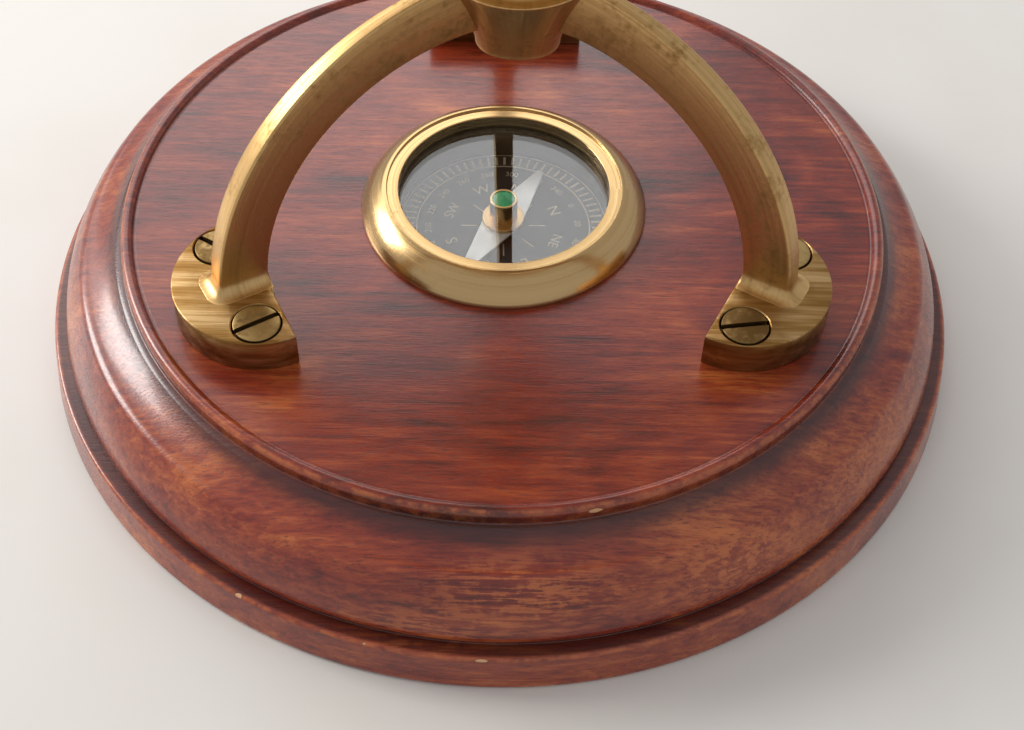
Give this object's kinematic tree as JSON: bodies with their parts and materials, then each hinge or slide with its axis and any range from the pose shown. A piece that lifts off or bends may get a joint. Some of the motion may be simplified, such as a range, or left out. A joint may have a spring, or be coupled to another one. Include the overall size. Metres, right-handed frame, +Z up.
{
  "type": "armillary sphere",
  "caption": "Desk armillary sphere of brass rings on a turned wooden base, with a glazed compass in the base under an arched tripod bracket",
  "frame": {"origin": "centre of the base's flat underside, on the table", "axes": "+Z up, +Y to the back, +X to the right as seen from the front"},
  "size_m": [0.15, 0.15, 0.2277],
  "materials": {
    "varnished_wood": "gloss varnish",
    "felt": "matt",
    "antique_brass": "satin, aged",
    "polished_brass": "polished",
    "old_steel": "satin, worn",
    "needle_metal": "satin",
    "dial_black": "matt",
    "green_enamel": "gloss",
    "clear_glass": "polished"
  },
  "bodies": {
    "base": {"base_moulding": "varnished_wood", "base_felt": "felt", "compass_bowl": "antique_brass", "compass_dial": "dial_black", "compass_pivot": "antique_brass", "compass_bezel": "polished_brass", "compass_glass": "clear_glass", "compass_retainer": "old_steel", "tripod_bracket": "antique_brass", "foot_screws": "old_steel", "stem": "antique_brass"},
    "needle": {"needle_blade": "needle_metal", "needle_hub": "antique_brass", "hub_enamel": "green_enamel"},
    "cradle": {"cradle_socket": "antique_brass", "swivel_screw": "antique_brass", "cradle": "antique_brass", "meridian_saddle": "antique_brass", "horizon_ring": "antique_brass", "horizon_screws": "antique_brass"},
    "meridian": {"meridian_ring": "antique_brass", "pole_bushes": "antique_brass"},
    "cage": {"solstitial_colure": "antique_brass", "equinoctial_colure": "antique_brass", "equator_ring": "antique_brass", "tropic_ring_north": "antique_brass", "tropic_ring_south": "antique_brass", "polar_circle_north": "antique_brass", "polar_circle_south": "antique_brass", "ecliptic_band": "antique_brass", "polar_rod": "antique_brass", "pole_nuts": "antique_brass", "rod_collars": "antique_brass", "arrow_head": "antique_brass", "arrow_feather": "antique_brass", "earth_globe": "polished_brass"}
  },
  "joints": [
    {"name": "needle_spin", "type": "hinge", "parent": "base", "child": "needle", "pos_m": [0, 0, 0.0185], "axis": [0, 0, 1], "continuous": true},
    {"name": "cradle_swivel", "type": "hinge", "parent": "base", "child": "cradle", "pos_m": [0.0015, 0, 0.096], "axis": [0, 0, 1], "continuous": true},
    {"name": "meridian_tilt", "type": "hinge", "parent": "cradle", "child": "meridian", "pos_m": [0.0015, 0, 0.1655], "axis": [0, 1, 0], "range_deg": [-25, 40]},
    {"name": "cage_spin", "type": "hinge", "parent": "meridian", "child": "cage", "pos_m": [0.0015, 0, 0.1655], "axis": [0.6428, 0, 0.766], "continuous": true}
  ]
}
